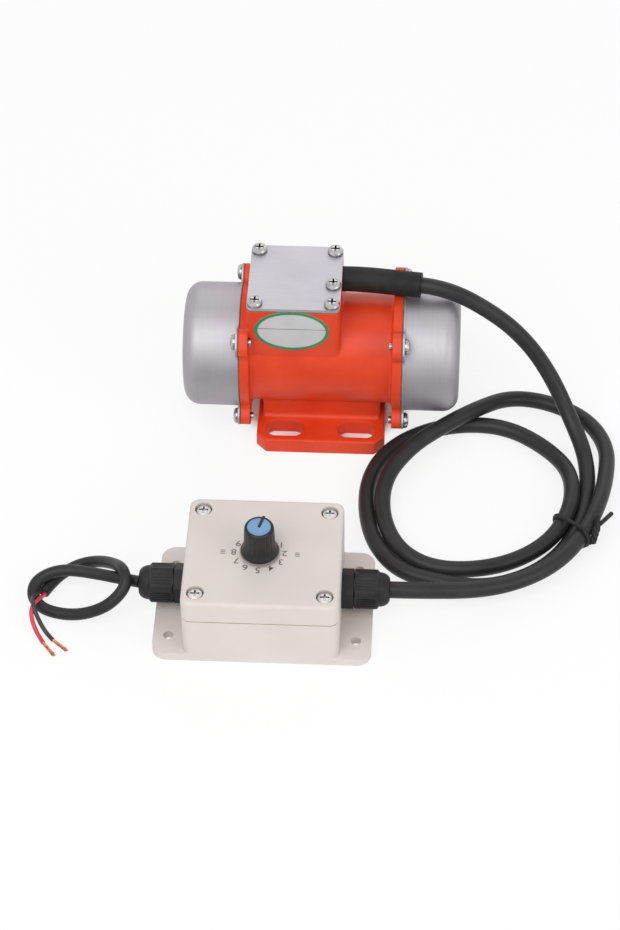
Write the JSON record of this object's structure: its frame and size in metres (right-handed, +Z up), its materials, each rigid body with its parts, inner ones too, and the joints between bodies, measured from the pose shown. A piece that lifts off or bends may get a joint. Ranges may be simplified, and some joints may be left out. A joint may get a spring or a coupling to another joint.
{
  "type": "vibration motor",
  "caption": "Compact eccentric-weight vibration motor with feet, terminal box, coiled cable and a dial speed controller with a short input lead.",
  "frame": {"origin": "centre of the four foot slots, on the motor's mounting plane", "axes": "+X along the motor shaft to the cable side, +Y away from the controller, +Z up from the mounting plane"},
  "size_m": [0.2463, 0.185, 0.0762],
  "materials": {
    "housing_paint": "smooth orange-red enamel",
    "satin_steel": "satin drawn sheet",
    "satin_aluminium": "satin sheet",
    "cast_aluminium": "machined casting",
    "machined_steel": "ground",
    "lamination_steel": "dull laminations",
    "magnet_dark": "plated magnet",
    "chromed_screws": "bright plating",
    "copper_wire": "enamelled copper",
    "black_rubber": "matt rubber",
    "cable_jacket": "semi-gloss jacket",
    "case_plastic": "warm white moulding",
    "white_plastic": "natural nylon",
    "gland_plastic": "black nylon",
    "knob_plastic": "black moulding",
    "cap_blue": "light blue cap",
    "board_green": "solder mask",
    "dark_component": "moulded component",
    "terminal_green": "moulded terminal",
    "lead_insulation": "silicone insulation",
    "tie_plastic": "plastic-coated wire",
    "wire_red": "insulation",
    "wire_black": "insulation"
  },
  "bodies": {
    "motor_and_controller": {"motor_housing": "housing_paint", "stator_core": "lamination_steel", "stator_windings": "copper_wire", "hall_board": "board_green", "terminal_plate": "satin_aluminium", "terminal_gasket": "black_rubber", "terminal_screws": "chromed_screws", "terminal_block": "white_plastic", "motor_leads": "lead_insulation", "cable_boot": "black_rubber", "boot_cable": "cable_jacket", "controller_base": "case_plastic", "controller_lid": "case_plastic", "lid_seal": "black_rubber", "lid_screws": "chromed_screws", "control_board": "board_green", "board_screws": "chromed_screws", "board_capacitors": "dark_component", "board_transistors": "dark_component", "board_terminals": "terminal_green", "pot_body": "machined_steel", "pot_nut": "chromed_screws", "output_cable_upper": "cable_jacket", "output_cable_coil": "cable_jacket", "output_cable_lower": "cable_jacket", "twist_tie": "tie_plastic", "input_cable": "cable_jacket", "red_wire": "wire_red", "black_wire": "wire_black", "wire_strands": "copper_wire", "output_gland_body": "gland_plastic", "output_gland_nut": "gland_plastic", "input_gland_body": "gland_plastic", "input_gland_nut": "gland_plastic", "gland_seals": "black_rubber", "gland_cables": "cable_jacket", "cover_gasket_right": "black_rubber", "cover_gasket_left": "black_rubber", "end_cover_right": "satin_steel", "end_cover_left": "satin_steel", "cover_screws_right": "chromed_screws", "cover_screws_left": "chromed_screws", "end_shield_right": "cast_aluminium", "end_shield_left": "cast_aluminium", "shield_screws_right": "chromed_screws", "shield_screws_left": "chromed_screws", "bearing_outer_right": "machined_steel", "bearing_outer_left": "machined_steel"},
    "rotor": {"rotor_shaft": "machined_steel", "rotor_core": "lamination_steel", "rotor_magnets": "magnet_dark", "bearing_inner_right": "machined_steel", "bearing_inner_left": "machined_steel", "eccentric_weight_right": "machined_steel", "eccentric_weight_left": "machined_steel"},
    "cage_right": {"bearing_cage_right": "machined_steel"},
    "cage_left": {"bearing_cage_left": "machined_steel"},
    "speed_knob": {"knob": "knob_plastic", "knob_cap": "cap_blue", "pot_shaft": "machined_steel"}
  },
  "joints": [
    {"name": "rotor_spin", "type": "hinge", "parent": "motor_and_controller", "child": "rotor", "pos_m": [0, 0, 0.034], "axis": [1, 0, 0], "continuous": true},
    {"name": "cage_right_spin", "type": "hinge", "parent": "motor_and_controller", "child": "cage_right", "pos_m": [0.029, 0, 0.034], "axis": [1, 0, 0], "continuous": true},
    {"name": "cage_left_spin", "type": "hinge", "parent": "motor_and_controller", "child": "cage_left", "pos_m": [-0.029, 0, 0.034], "axis": [1, 0, 0], "continuous": true},
    {"name": "knob_turn", "type": "hinge", "parent": "motor_and_controller", "child": "speed_knob", "pos_m": [-0.0196, -0.1228, 0.035], "axis": [0, 0, -1], "range_deg": [0, 300]}
  ],
  "couplings": [
    {"joint": "cage_right_spin", "follows": "rotor_spin", "ratio": 0.37},
    {"joint": "cage_left_spin", "follows": "rotor_spin", "ratio": 0.37}
  ]
}
